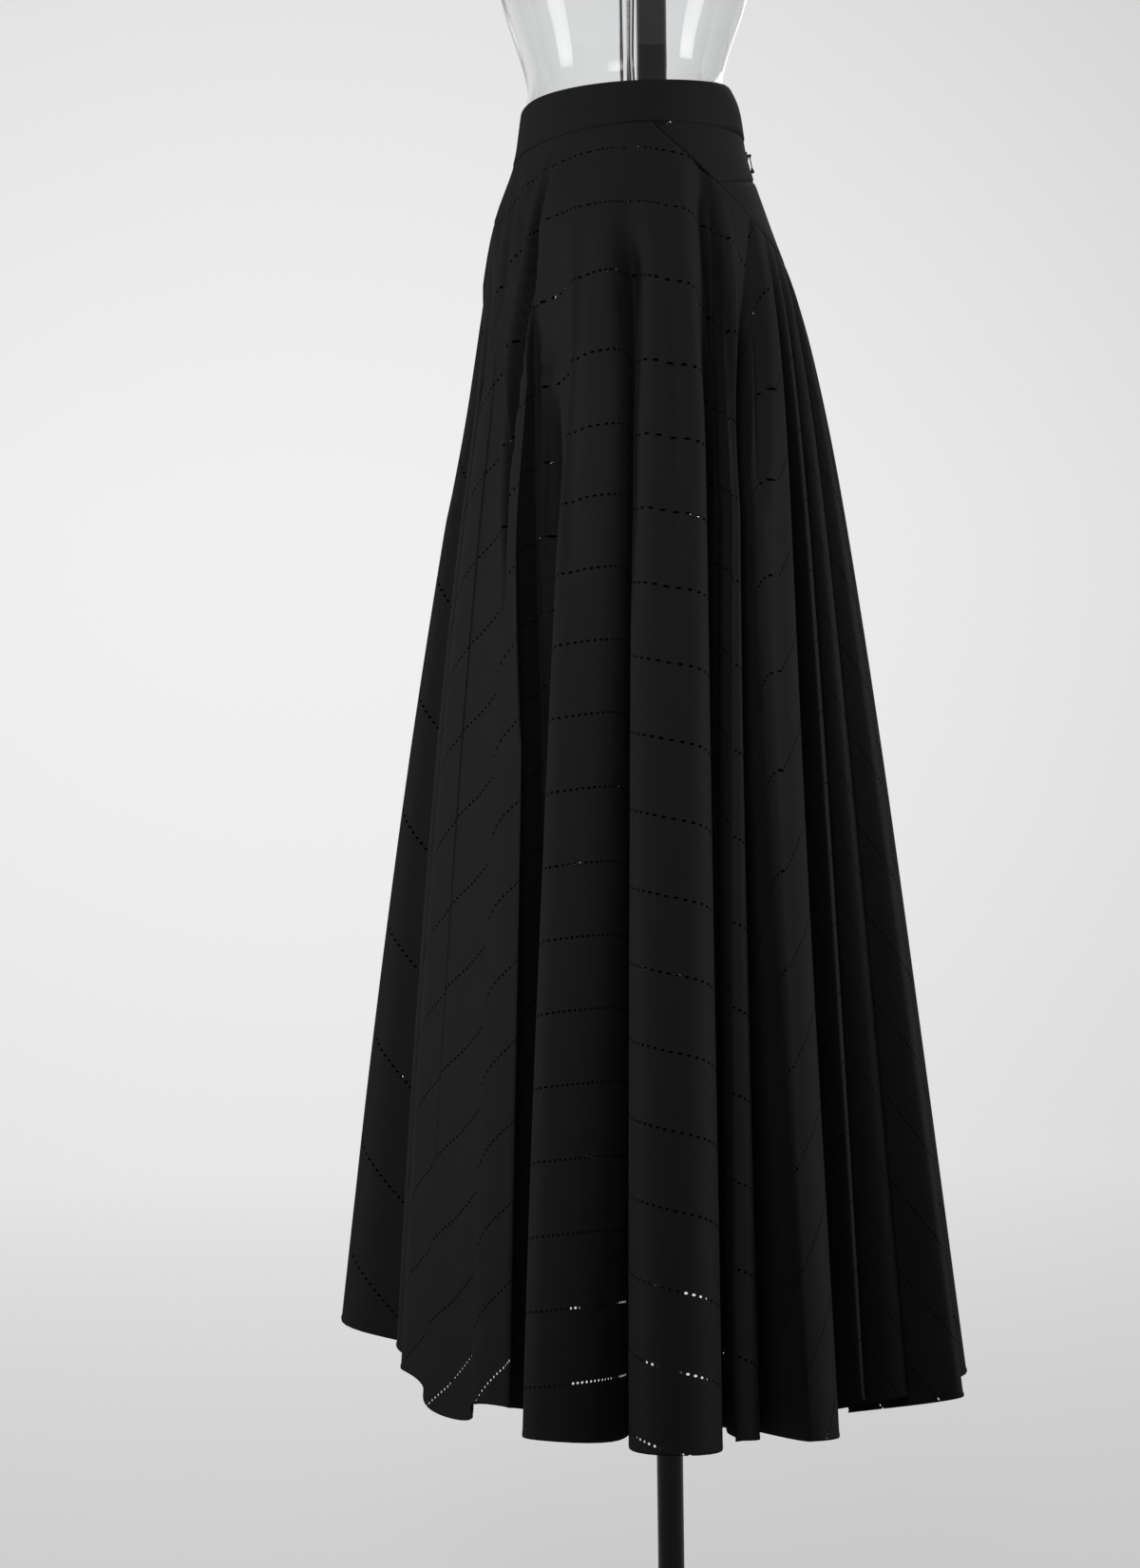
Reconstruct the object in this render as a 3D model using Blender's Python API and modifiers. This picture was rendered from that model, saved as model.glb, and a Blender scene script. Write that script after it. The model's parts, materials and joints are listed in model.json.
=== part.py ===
"""Long flared skirt, circle-cut and hung in deep unpressed folds, on a clear dress form and pole.

Units are metres, +Z is up and the origin is the centre of the base's underside, on the pole's axis.
The wearer's front faces -Y, the wearer's left is +X and the zip is at the centre back, at +Y.
Angles are in degrees round the pole, seen from above: 0 is the left side, 90 the centre back.
"""

import math
from collections import namedtuple

import bmesh
import bpy
from mathutils import Matrix, Vector

# Sizes of the cloth pieces
CLOTH = 0.0012
BAND_CLOTH = 0.0020
BAND_PROUD = 0.0006
SEAM_GAP = 0.0003
FIT_GAP = 0.0003

# Heights of the waistband, level with the hips but rising to the back
BAND_TOP = 1.2920
BAND_TOP_TILT = 0.0080
BAND_TOP_DIP = 0.0040
BAND_SEAM = 1.2515
BAND_SEAM_TILT = 0.0090

# Hem height, a little lower at the back than at the front
HEM_HEIGHT = 0.2570
HEM_TILT = 0.0100

# Back yoke: its lower seam starts on the waistband at each side and drops towards the zip
YOKE_START = -3.0
YOKE_DROP = 0.1100
YOKE_CURVE = 0.95
YOKE_TIP = -1.5
YOKE_SPLIT = 23.5
YOKE_SPLIT_TIP = 26.0
YOKE_SPLIT_DROP = 0.0322
BACK = 90.0

# How folds open below the seams, as shares of a panel's drop
OPEN_SHARE = 0.35
SINK_POWER = 0.85

# How finely the cloth is divided
PHASES_PER_FOLD = 10
PANEL_DROPS = (0.0, 0.03, 0.08, 0.15, 0.25, 0.40, 0.60, 0.80, 1.0)
BAND_SEGMENTS = 96
YOKE_SEGMENTS = 14

Section = namedtuple("Section", "height front back side")

# Reach of the skirt's outline from the pole's axis at each height
OUTLINE = (
    Section(0.2400, 0.2780, 0.2160, 0.3380),
    Section(0.4900, 0.2480, 0.1940, 0.2960),
    Section(0.7500, 0.2120, 0.1700, 0.2480),
    Section(0.9330, 0.1815, 0.1500, 0.2110),
    Section(1.0400, 0.1610, 0.1350, 0.1850),
    Section(1.1240, 0.1475, 0.1180, 0.1610),
    Section(1.1900, 0.1355, 0.0955, 0.1410),
    Section(1.2450, 0.1157, 0.0778, 0.1235),
    Section(1.2850, 0.1090, 0.0715, 0.1095),
    Section(1.3100, 0.1065, 0.0600, 0.1050),
)

# Reach of the dress form, which fills the waistband and stays inside the folds
FORM_FIT = 0.0022
FORM_WALL = 0.0030
FORM_WAIST_HEIGHTS = (1.2450, 1.2850, 1.3100)
FORM = (
    Section(0.9650, 0.1240, 0.1050, 0.1230),
    Section(1.0500, 0.1250, 0.1040, 0.1290),
    Section(1.1500, 0.1225, 0.0950, 0.1285),
    Section(1.2000, 0.1175, 0.0835, 0.1218),
    *(
        Section(row.height, row.front - FORM_FIT, row.back - FORM_FIT, row.side - FORM_FIT)
        for row in OUTLINE
        if row.height in FORM_WAIST_HEIGHTS
    ),
    Section(1.3830, 0.1250, 0.0800, 0.1240),
    Section(1.4400, 0.1360, 0.0890, 0.1320),
    Section(1.5000, 0.1500, 0.0960, 0.1400),
    Section(1.5600, 0.1400, 0.0990, 0.1480),
    Section(1.6200, 0.1120, 0.0960, 0.1540),
    Section(1.6700, 0.0880, 0.0860, 0.1340),
    Section(1.7000, 0.0700, 0.0740, 0.0960),
    Section(1.7250, 0.0580, 0.0600, 0.0640),
    Section(1.7800, 0.0500, 0.0500, 0.0540),
)
FORM_SEGMENTS = 40
FORM_SIDE_SEAM = -0.0220
FORM_SIDE_SEAM_REACH = 0.1600

# Stand
BASE_RADIUS = 0.160
BASE_THICKNESS = 0.008
BASE_EDGE = 0.002
SOCKET_RADIUS = 0.019
SOCKET_HEIGHT = 0.040
POLE_RADIUS = 0.011
SLEEVE_RADIUS = 0.0127
SLEEVE_BOTTOM = 0.9400
CAP_THICKNESS = 0.012
CAP_OVERHANG = 0.003
ROUND_SEGMENTS = 48

# Zip slider and its pull, in the slider's own upright frame: X across, Y out of the cloth, Z up
SLIDER_BELOW_SEAM = 0.0095
SLIDER_WIDTH = 0.0048
SLIDER_LENGTH = 0.0070
SLIDER_THICKNESS = 0.0014
EAR_THICKNESS = 0.0008
PIN_RADIUS = 0.0005
EYE_INNER = 0.0008
EYE_OUTER = 0.0015
EYE_WIDTH = 0.0018
PULL_STEM = 0.0005
PULL_LENGTH = 0.0150
DROP_LENGTH = 0.0052
DROP_RADIUS = 0.0017
PULL_SEGMENTS = 12

Fold = namedtuple(
    "Fold",
    "panel top hem turn reach before after valley_top valley_hem valley_turn valley_reach start",
)

# One row for each fold, going round from the centre front by the left side.
# top and hem are the angles of the ridge at the seam above and at the hem, turn the share of the
# drop in which it swings from one to the other, and reach its distance from the pole at the hem.
# before and after are how much of the way to the valley on each side the ridge stays wide. The
# valley columns say the same for the valley that follows, and start is where that begins to sink.
FOLDS = (
    Fold("front_left", -80, -92.0, 0.20, 0.224, 0.55, 0.60, -72, -82.0, 0.20, 0.172, 0.15),
    Fold("front_left", -64, -69.0, 0.20, 0.230, 0.60, 0.50, -56, -50.0, 0.20, 0.214, 0.25),
    Fold("front_left", -51, -35.0, 0.30, 0.243, 0.50, 0.75, -43, -30.0, 0.45, 0.155, 0.03),
    Fold("front_left", -23, -19.8, 0.20, 0.314, 0.25, 0.96, -8, -7.5, 0.30, 0.165, 0.04),
    Fold("front_left", 3, -1.5, 0.30, 0.345, 0.90, 0.84, 13, 5.4, 0.45, 0.180, 0.0),
    Fold("front_left", 27, 8.8, 0.20, 0.302, 0.72, 0.72, 41, 12.9, 0.16, 0.170, 0.0),
    Fold("back_left", 45, 17.2, 0.30, 0.317, 0.85, 0.60, 48, 26.0, 0.30, 0.155, 0.0),
    Fold("back_left", 53, 39.0, 0.22, 0.213, 0.50, 0.60, 57, 44.5, 0.20, 0.150, 0.0),
    Fold("back_left", 62, 49.2, 0.20, 0.228, 0.60, 0.75, 67, 52.0, 0.16, 0.170, 0.0),
    Fold("back_left", 73, 55.0, 0.14, 0.266, 0.80, 0.50, 79, 66.0, 0.12, 0.150, 0.0),
    Fold("back_left", 84, 78.0, 0.10, 0.246, 0.55, 0.55, 90, 88.0, 0.10, 0.150, 0.0),
    Fold("back_right", 95, 97.0, 0.10, 0.243, 0.55, 0.55, 100, 105.0, 0.10, 0.150, 0.0),
    Fold("back_right", 106, 113.0, 0.12, 0.262, 0.55, 0.50, 111, 121.0, 0.12, 0.155, 0.0),
    Fold("back_right", 117, 128.0, 0.16, 0.262, 0.55, 0.55, 122, 135.0, 0.16, 0.160, 0.0),
    Fold("back_right", 127, 142.0, 0.20, 0.290, 0.60, 0.55, 132, 149.0, 0.20, 0.160, 0.0),
    Fold("back_right", 136, 157.0, 0.20, 0.312, 0.60, 0.60, 140, 164.0, 0.16, 0.180, 0.0),
    Fold("front_right", 155, 171.5, 0.20, 0.335, 0.70, 0.70, 168, 178.5, 0.25, 0.190, 0.03),
    Fold("front_right", 180, 186.5, 0.25, 0.338, 0.65, 0.60, 190, 194.0, 0.25, 0.185, 0.05),
    Fold("front_right", 201, 202.0, 0.20, 0.318, 0.60, 0.55, 211, 210.0, 0.20, 0.165, 0.04),
    Fold("front_right", 220, 217.0, 0.20, 0.300, 0.55, 0.55, 228, 224.0, 0.20, 0.160, 0.10),
    Fold("front_right", 237, 230.5, 0.20, 0.285, 0.55, 0.50, 245, 237.0, 0.20, 0.168, 0.15),
    Fold("front_right", 257, 245.0, 0.20, 0.305, 0.60, 0.60, 270, 260.0, 0.20, 0.175, 0.10),
)

Surface = namedtuple("Surface", "colour roughness metallic")
SURFACES = {
    "cloth": Surface((0.012, 0.012, 0.013), 0.75, 0.0),
    "clear_plastic": Surface((0.93, 0.94, 0.95), 0.08, 0.0),
    "black_steel": Surface((0.020, 0.020, 0.022), 0.35, 0.6),
    "dark_zinc": Surface((0.10, 0.10, 0.11), 0.35, 0.9),
}


def lerp(start, end, share):
    return start + (end - start) * share


def cosd(degrees):
    return math.cos(math.radians(degrees))


def sind(degrees):
    return math.sin(math.radians(degrees))


def clear_scene():
    for thing in list(bpy.data.objects):
        bpy.data.objects.remove(thing, do_unlink=True)


def new_collection(name):
    group = bpy.data.collections.new(name)
    bpy.context.scene.collection.children.link(group)
    return group


def make_material(name):
    surface = SURFACES[name]
    material = bpy.data.materials.new(name)
    material.use_nodes = True
    shader = material.node_tree.nodes["Principled BSDF"]
    shader.inputs["Base Color"].default_value = (*surface.colour, 1.0)
    shader.inputs["Roughness"].default_value = surface.roughness
    shader.inputs["Metallic"].default_value = surface.metallic
    material.diffuse_color = (*surface.colour, 1.0)
    return material


def section_at(table, height):
    """Front, back and side reach at a height, on a smooth curve through the table's rows."""
    last = len(table) - 1
    height = min(max(height, table[0].height), table[last].height)
    low = max(i for i in range(last) if table[i].height <= height)
    rows = [table[max(low - 1, 0)], table[low], table[low + 1], table[min(low + 2, last)]]
    step = rows[2].height - rows[1].height
    share = (height - rows[1].height) / step
    reaches = []
    for column in ("front", "back", "side"):
        value = [getattr(row, column) for row in rows]
        slope_low = (value[2] - value[0]) / (rows[2].height - rows[0].height)
        slope_high = (value[3] - value[1]) / (rows[3].height - rows[1].height)
        reaches.append(
            value[1] * (1 + 2 * share) * (1 - share) ** 2
            + value[2] * share**2 * (3 - 2 * share)
            + step * slope_low * share * (1 - share) ** 2
            + step * slope_high * share**2 * (share - 1)
        )
    return reaches


def outline_reach(degrees, height):
    """Distance from the pole's axis to the skirt's outline, an oval set forward of the pole."""
    front, back, side = section_at(OUTLINE, height)
    centre, half = (back - front) / 2, (back + front) / 2
    a = (cosd(degrees) / side) ** 2 + (sind(degrees) / half) ** 2
    b = sind(degrees) * centre / half**2
    c = (centre / half) ** 2 - 1
    return (b + math.sqrt(b * b - a * c)) / a


def at_angle(degrees, reach, height):
    return Vector((reach * cosd(degrees), reach * sind(degrees), height))


def band_top(degrees):
    return BAND_TOP + BAND_TOP_TILT * sind(degrees) - BAND_TOP_DIP * cosd(2 * degrees)


def band_seam(degrees):
    return BAND_SEAM + BAND_SEAM_TILT * sind(degrees)


def round_from_side(degrees):
    """The same angle folded onto the left half, so that both sides follow one rule."""
    return 180 - degrees if degrees > BACK else degrees


def yoke_seam(degrees):
    """Height of the seam that the skirt panels hang from: the waistband's, or the yoke's behind it."""
    turned = (round_from_side(degrees) - YOKE_START) * BACK / (BACK - YOKE_START)
    drop = YOKE_DROP * sind(turned) ** YOKE_CURVE if turned > 0 else 0.0
    return band_seam(degrees) - drop


def yoke_split(degrees):
    """Height of the level seam that parts the upper yoke from the lower one."""
    start_drop = band_seam(YOKE_SPLIT) - yoke_seam(YOKE_SPLIT)
    share = (round_from_side(degrees) - YOKE_SPLIT) / (BACK - YOKE_SPLIT)
    return band_seam(degrees) - lerp(start_drop, YOKE_SPLIT_DROP, share)


def hem_height(degrees):
    return HEM_HEIGHT - HEM_TILT * sind(degrees)


def steep_share(phase, wide):
    """Share of the way round from ridge to valley, with the cloth's flank standing radially."""
    quarter = math.pi / 2
    if phase <= quarter:
        return wide * (phase + 0.5 * math.sin(2 * phase)) / quarter
    rest = math.pi - phase
    return 1 - (1 - wide) * (rest + 0.5 * math.sin(2 * rest)) / quarter


def swung(top, hem, turn, drop):
    """Angle of a crease that swings from its place on the seam above to its place at the hem."""
    return lerp(hem, top, math.exp(-drop / turn))


def sunk(start, drop):
    """How far a valley has sunk towards its depth at the hem, from where it starts."""
    return max((drop - start) / (1 - start), 0.0) ** SINK_POWER


def skirt_point(index, phase, drop):
    """A point of the cloth's outer face.

    phase runs from -pi in the valley before fold number index, over its ridge at 0, to pi in its own
    valley. drop runs from 0 at the seam above to 1 at the hem.
    """
    fold = FOLDS[index]
    valley = fold if phase >= 0 else FOLDS[index - 1]
    wrap = -360 if phase < 0 and index == 0 else 0
    wide = fold.after if phase >= 0 else fold.before
    phase = abs(phase)
    even = phase / math.pi
    steep = steep_share(phase, wide)
    opened = min(drop / OPEN_SHARE, 1.0)
    opened = opened * opened * (3 - 2 * opened)
    ridge_angle = swung(fold.top, fold.hem, fold.turn, drop)
    valley_angle = swung(valley.valley_top, valley.valley_hem, valley.valley_turn, drop) + wrap
    degrees = lerp(ridge_angle, valley_angle, lerp(even, steep, opened))
    top_degrees = lerp(fold.top, valley.valley_top + wrap, even)
    hem_degrees = lerp(fold.hem, valley.valley_hem + wrap, steep)
    hem = hem_height(hem_degrees)
    height = lerp(yoke_seam(top_degrees), hem, drop)
    round_hem = outline_reach(hem_degrees, hem)
    raised = (fold.reach - round_hem) * drop
    lowered = (valley.valley_reach - round_hem) * sunk(valley.start, drop)
    folded = lerp(raised, lowered, (1 - math.cos(phase)) / 2)
    return at_angle(degrees, outline_reach(degrees, height) + folded, height)


def moved_towards(point, other, distance):
    return point + (other - point).normalized() * distance


def opened_edges(rows, gap):
    """Rows of points with half the gap taken off every edge, so that neighbours don't touch."""
    rows = [list(row) for row in rows]
    for row in rows:
        row[0] = moved_towards(row[0], row[1], gap / 2)
        row[-1] = moved_towards(row[-1], row[-2], gap / 2)
    first = [moved_towards(a, b, gap) for a, b in zip(rows[0], rows[1])]
    return [first, *rows[1:]]


def build_cloth(name, rows, closed, thickness, material, group):
    """A wall between rows of points that run from top to bottom, each row counter-clockwise."""
    mesh = bmesh.new()
    grid = [[mesh.verts.new(point) for point in row] for row in rows]
    count = len(grid[0])
    for upper, lower in zip(grid, grid[1:]):
        for j in range(count if closed else count - 1):
            k = (j + 1) % count
            mesh.faces.new((upper[j], lower[j], lower[k], upper[k]))
    data = bpy.data.meshes.new(name)
    mesh.to_mesh(data)
    mesh.free()
    data.shade_smooth()
    piece = bpy.data.objects.new(name, data)
    group.objects.link(piece)
    data.materials.append(material)
    wall = piece.modifiers.new("wall", "SOLIDIFY")
    wall.thickness = thickness
    wall.offset = -1
    wall.use_even_offset = True
    return piece


def build_panel(panel, material, group):
    """One of the four flared panels, from the valley at one of its seams to the valley at the other."""
    indices = [i for i, fold in enumerate(FOLDS) if fold.panel == panel]
    step = 2 * math.pi / PHASES_PER_FOLD
    columns = [
        (index, -math.pi + k * step) for index in indices for k in range(PHASES_PER_FOLD)
    ]
    columns.append((indices[-1], math.pi))
    rows = [[skirt_point(i, phase, drop) for i, phase in columns] for drop in PANEL_DROPS]
    return build_cloth(panel, opened_edges(rows, SEAM_GAP), False, CLOTH, material, group)


def build_waistband(material, group):
    """The shaped band, open at the centre back above the zip."""
    turn = 360 / BAND_SEGMENTS
    angles = [BACK + i * turn for i in range(BAND_SEGMENTS + 1)]
    rows = []
    for share in (0.0, 0.33, 0.67, 1.0):
        row = []
        for degrees in angles:
            height = lerp(band_top(degrees), band_seam(degrees) + SEAM_GAP, share)
            row.append(at_angle(degrees, outline_reach(degrees, height) + BAND_PROUD, height))
        rows.append(row)
    for row in rows:
        row[0] = moved_towards(row[0], row[1], SEAM_GAP / 2)
        row[-1] = moved_towards(row[-1], row[-2], SEAM_GAP / 2)
    return build_cloth("waistband", rows, False, BAND_CLOTH, material, group)


def build_yoke(name, start, upper, lower, mirrored, material, group):
    """A yoke piece on one side, between two seams, from its tip to the zip."""
    angles = [lerp(start, BACK, i / YOKE_SEGMENTS) for i in range(YOKE_SEGMENTS + 1)]
    if mirrored:
        angles = [180 - degrees for degrees in reversed(angles)]
    rows = []
    for share in (0.0, 0.5, 1.0):
        row = []
        for degrees in angles:
            top, bottom = upper(degrees) - SEAM_GAP, lower(degrees) + SEAM_GAP
            height = lerp(top, bottom, share)
            row.append(at_angle(degrees, outline_reach(degrees, height), height))
        rows.append(row)
    for row in rows:
        row[0] = moved_towards(row[0], row[1], SEAM_GAP / 2)
        row[-1] = moved_towards(row[-1], row[-2], SEAM_GAP / 2)
    return build_cloth(name, rows, False, CLOTH, material, group)


def upper_yoke_bottom(degrees):
    return yoke_seam(degrees) if round_from_side(degrees) < YOKE_SPLIT else yoke_split(degrees)


def build_yokes(material, group):
    for side, mirrored in (("left", False), ("right", True)):
        build_yoke(
            f"yoke_upper_{side}", YOKE_TIP, band_seam, upper_yoke_bottom, mirrored, material, group
        )
        build_yoke(
            f"yoke_lower_{side}", YOKE_SPLIT_TIP, yoke_split, yoke_seam, mirrored, material, group
        )


def build_form(material, group, workshop):
    """The clear torso: a front and a back shell that meet down the sides, open at the bottom."""
    turn = 360 / FORM_SEGMENTS
    rows = []
    for section in reversed(FORM):
        centre, half = (section.back - section.front) / 2, (section.back + section.front) / 2
        angles = [(i + 0.5) * turn for i in range(FORM_SEGMENTS)]
        rows.append(
            [
                Vector((section.side * cosd(a), centre + half * sind(a), section.height))
                for a in angles
            ]
        )
    low, high = FORM[0].height, FORM[-1].height
    for name, side in (("form_back", -1), ("form_front", 1)):
        shell = build_cloth(name, rows, True, FORM_WALL, material, group)
        depth = 4 * FORM_SIDE_SEAM_REACH
        centre = Vector(
            (0.0, FORM_SIDE_SEAM + side * (depth / 2 - SEAM_GAP / 2), (low + high) / 2)
        )
        cutter = block(
            f"{name}_cutter", (depth, depth, 2 * (high - low)), centre, workshop
        )
        cutter.hide_render = True
        cutter.display_type = "WIRE"
        cut = shell.modifiers.new("half", "BOOLEAN")
        cut.operation = "DIFFERENCE"
        cut.solver = "EXACT"
        cut.object = cutter


def build_turned(name, profile, material, group, segments=ROUND_SEGMENTS, hollow=False):
    """A solid turned about the pole's axis from (radius, height) points, top to bottom.

    A hollow one has a profile that runs back up its bore and closes on itself.
    """
    edges = [(i, i + 1) for i in range(len(profile) - 1)]
    if hollow:
        edges.append((len(profile) - 1, 0))
    data = bpy.data.meshes.new(name)
    data.from_pydata([(radius, 0.0, height) for radius, height in profile], edges, [])
    piece = bpy.data.objects.new(name, data)
    group.objects.link(piece)
    data.materials.append(material)
    turn = piece.modifiers.new("turn", "SCREW")
    turn.axis = "Z"
    turn.steps = segments
    turn.render_steps = segments
    turn.use_merge_vertices = True
    turn.merge_threshold = 0.00001
    return piece


def build_stand(material, group):
    """Base plate with its socket, the pole, the form's sleeve on the pole and the neck cap."""
    bore = POLE_RADIUS + FIT_GAP
    build_turned(
        "base",
        [
            (0.0, BASE_THICKNESS),
            (bore, BASE_THICKNESS),
            (bore, SOCKET_HEIGHT),
            (SOCKET_RADIUS - BASE_EDGE, SOCKET_HEIGHT),
            (SOCKET_RADIUS, SOCKET_HEIGHT - BASE_EDGE),
            (SOCKET_RADIUS, BASE_THICKNESS),
            (BASE_RADIUS - BASE_EDGE, BASE_THICKNESS),
            (BASE_RADIUS, BASE_THICKNESS - BASE_EDGE),
            (BASE_RADIUS, 0.0),
            (0.0, 0.0),
        ],
        material,
        group,
    )
    form_top = FORM[-1]
    sleeve_top = form_top.height
    pole_top = sleeve_top - BASE_EDGE
    pole_bottom = BASE_THICKNESS + FIT_GAP
    build_turned(
        "pole",
        [(0.0, pole_top), (POLE_RADIUS, pole_top), (POLE_RADIUS, pole_bottom), (0.0, pole_bottom)],
        material,
        group,
    )
    build_turned(
        "sleeve",
        [
            (SLEEVE_RADIUS, sleeve_top),
            (SLEEVE_RADIUS, SLEEVE_BOTTOM),
            (bore, SLEEVE_BOTTOM),
            (bore, sleeve_top),
        ],
        material,
        group,
        hollow=True,
    )
    cap_bottom = sleeve_top + FIT_GAP
    cap_top = cap_bottom + CAP_THICKNESS
    cap_radius = form_top.side + CAP_OVERHANG
    build_turned(
        "neck_cap",
        [
            (0.0, cap_top),
            (cap_radius - CAP_OVERHANG, cap_top),
            (cap_radius, cap_top - CAP_OVERHANG),
            (cap_radius, cap_bottom),
            (0.0, cap_bottom),
        ],
        material,
        group,
    )


def primitive(name, build, group, place=None):
    """A mesh object made by one bmesh primitive, moved and turned by the matrix place."""
    mesh = bmesh.new()
    build(mesh)
    if place:
        bmesh.ops.transform(mesh, matrix=place, verts=mesh.verts)
    data = bpy.data.meshes.new(name)
    mesh.to_mesh(data)
    mesh.free()
    piece = bpy.data.objects.new(name, data)
    group.objects.link(piece)
    return piece


def block(name, size, centre, group):
    place = Matrix.Translation(centre) @ Matrix.Diagonal((*size, 1.0))
    return primitive(name, lambda mesh: bmesh.ops.create_cube(mesh, size=1), group, place)


def cross_rod(name, radius, width, group):
    """A cylinder along X through the pin's centre."""
    place = Matrix.Rotation(math.pi / 2, 4, "Y")

    def build(mesh):
        bmesh.ops.create_cone(
            mesh,
            cap_ends=True,
            segments=PULL_SEGMENTS,
            radius1=radius,
            radius2=radius,
            depth=width,
        )

    return primitive(name, build, group, place)


def combine(piece, others, operation):
    """Adds or cuts the others with Booleans, and leaves piece as the finished mesh."""
    for other in others:
        change = piece.modifiers.new(operation.lower(), "BOOLEAN")
        change.object = other
        change.operation = operation
        change.solver = "EXACT"
    bpy.context.view_layer.update()
    finished = bpy.data.meshes.new_from_object(
        piece.evaluated_get(bpy.context.evaluated_depsgraph_get())
    )
    piece.modifiers.clear()
    piece.data = finished
    for other in others:
        bpy.data.objects.remove(other, do_unlink=True)
    return piece


def zip_pin():
    """Where the pull's pin is, and how far the cloth behind it leans."""
    height = band_seam(BACK) - SLIDER_BELOW_SEAM
    above = outline_reach(BACK, height + SLIDER_LENGTH)
    below = outline_reach(BACK, height - SLIDER_LENGTH)
    lean = math.atan2(below - above, 2 * SLIDER_LENGTH)
    standoff = 2 * FIT_GAP + SLIDER_THICKNESS + FIT_GAP + EYE_OUTER
    return Vector((0.0, outline_reach(BACK, height) + standoff, height)), lean


def build_zip(material, group, workshop):
    """The invisible zip's slider below the waistband, and the drop-shaped pull hinged on its pin."""
    body_face = -EYE_OUTER - FIT_GAP
    slider = block(
        "zip_slider",
        (SLIDER_WIDTH, SLIDER_THICKNESS, SLIDER_LENGTH),
        Vector((0.0, body_face - SLIDER_THICKNESS / 2, 0.0)),
        group,
    )
    ear_back = body_face - SLIDER_THICKNESS / 2
    ear_front = PIN_RADIUS
    ear_side = EYE_WIDTH / 2 + FIT_GAP + EAR_THICKNESS / 2
    ears = [
        block(
            "ear",
            (EAR_THICKNESS, ear_front - ear_back, 4 * PIN_RADIUS),
            Vector((side * ear_side, (ear_front + ear_back) / 2, 0.0)),
            workshop,
        )
        for side in (-1, 1)
    ]
    axle = cross_rod("axle", PIN_RADIUS * 0.9, 2 * ear_side, workshop)
    combine(slider, [*ears, axle], "UNION")

    pull = cross_rod("zip_pull", EYE_OUTER, EYE_WIDTH, group)
    shank_top = -(EYE_OUTER + EYE_INNER) / 2
    drop_top = DROP_LENGTH - PULL_LENGTH
    profile = [
        (0.0, shank_top),
        (PULL_STEM, shank_top),
        (PULL_STEM, drop_top),
        (DROP_RADIUS * 0.70, lerp(drop_top, -PULL_LENGTH, 0.40)),
        (DROP_RADIUS, lerp(drop_top, -PULL_LENGTH, 0.70)),
        (DROP_RADIUS * 0.75, lerp(drop_top, -PULL_LENGTH, 0.92)),
        (0.0, -PULL_LENGTH),
    ]
    shank = build_turned("shank", profile, material, workshop, PULL_SEGMENTS)
    combine(shank, [], "UNION")
    combine(pull, [shank], "UNION")
    combine(pull, [cross_rod("eye", EYE_INNER, 2 * EYE_WIDTH, workshop)], "DIFFERENCE")
    pin, lean = zip_pin()
    for piece in (slider, pull):
        piece.data.materials.clear()
        piece.data.materials.append(material)
        piece.location = pin
        piece.rotation_euler = (lean, 0.0, 0.0)


def main():
    clear_scene()
    parts = new_collection("flared_skirt_on_form")
    workshop = new_collection("cutters")
    cloth = make_material("cloth")
    build_waistband(cloth, parts)
    build_yokes(cloth, parts)
    for panel in ("front_left", "back_left", "back_right", "front_right"):
        build_panel(panel, cloth, parts)
    build_form(make_material("clear_plastic"), parts, workshop)
    build_stand(make_material("black_steel"), parts)
    build_zip(make_material("dark_zinc"), parts, workshop)


main()
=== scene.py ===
"""Dresses the frame of a flared skirt worn on a clear dress form, and sets it on a pale stage.

The skirt is circle-cut black cloth with rows of small round openwork holes, hung in deep soft folds
from a shaped waistband and a pointed back yoke. Run it as a script: it builds every piece in order.
All sizes are in metres unless a property says otherwise, and angles run round the pole from the
wearer's left side (0) by the centre back (90).
"""

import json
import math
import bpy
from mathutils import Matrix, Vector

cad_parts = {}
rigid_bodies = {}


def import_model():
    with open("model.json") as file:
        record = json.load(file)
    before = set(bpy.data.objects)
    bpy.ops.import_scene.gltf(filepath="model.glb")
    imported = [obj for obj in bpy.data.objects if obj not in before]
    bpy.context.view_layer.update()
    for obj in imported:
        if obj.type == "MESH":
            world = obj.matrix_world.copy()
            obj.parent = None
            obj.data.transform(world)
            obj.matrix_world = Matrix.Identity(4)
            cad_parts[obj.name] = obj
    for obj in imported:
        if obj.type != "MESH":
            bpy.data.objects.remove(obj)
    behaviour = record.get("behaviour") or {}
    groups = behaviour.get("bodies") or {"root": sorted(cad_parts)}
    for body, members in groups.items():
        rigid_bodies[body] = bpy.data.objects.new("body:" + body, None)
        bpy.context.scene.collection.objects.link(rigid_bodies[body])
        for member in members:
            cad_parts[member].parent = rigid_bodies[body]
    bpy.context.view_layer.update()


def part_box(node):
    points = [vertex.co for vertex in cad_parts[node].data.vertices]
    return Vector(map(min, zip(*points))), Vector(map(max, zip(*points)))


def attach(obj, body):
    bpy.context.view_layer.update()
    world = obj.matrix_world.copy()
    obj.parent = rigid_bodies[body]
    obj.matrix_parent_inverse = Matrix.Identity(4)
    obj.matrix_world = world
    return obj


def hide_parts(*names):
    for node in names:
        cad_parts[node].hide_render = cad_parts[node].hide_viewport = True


bl_info = {
    "name": "Flared Skirt on a Clear Form",
    "version": (1, 0, 0),
    "blender": (4, 5, 0),
    "location": "3D View > Sidebar > Skirt",
    "description": "Dresses the frame of a circle-cut skirt worn on a clear dress form",
    "category": "Add Mesh",
}

from collections import namedtuple

import bpy
import numpy as np
from bpy.props import FloatProperty, FloatVectorProperty, IntProperty, PointerProperty
from bpy.types import Operator, Panel, PropertyGroup
from mathutils import Matrix, Vector

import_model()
BODY = "skirt_on_form"

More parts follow.
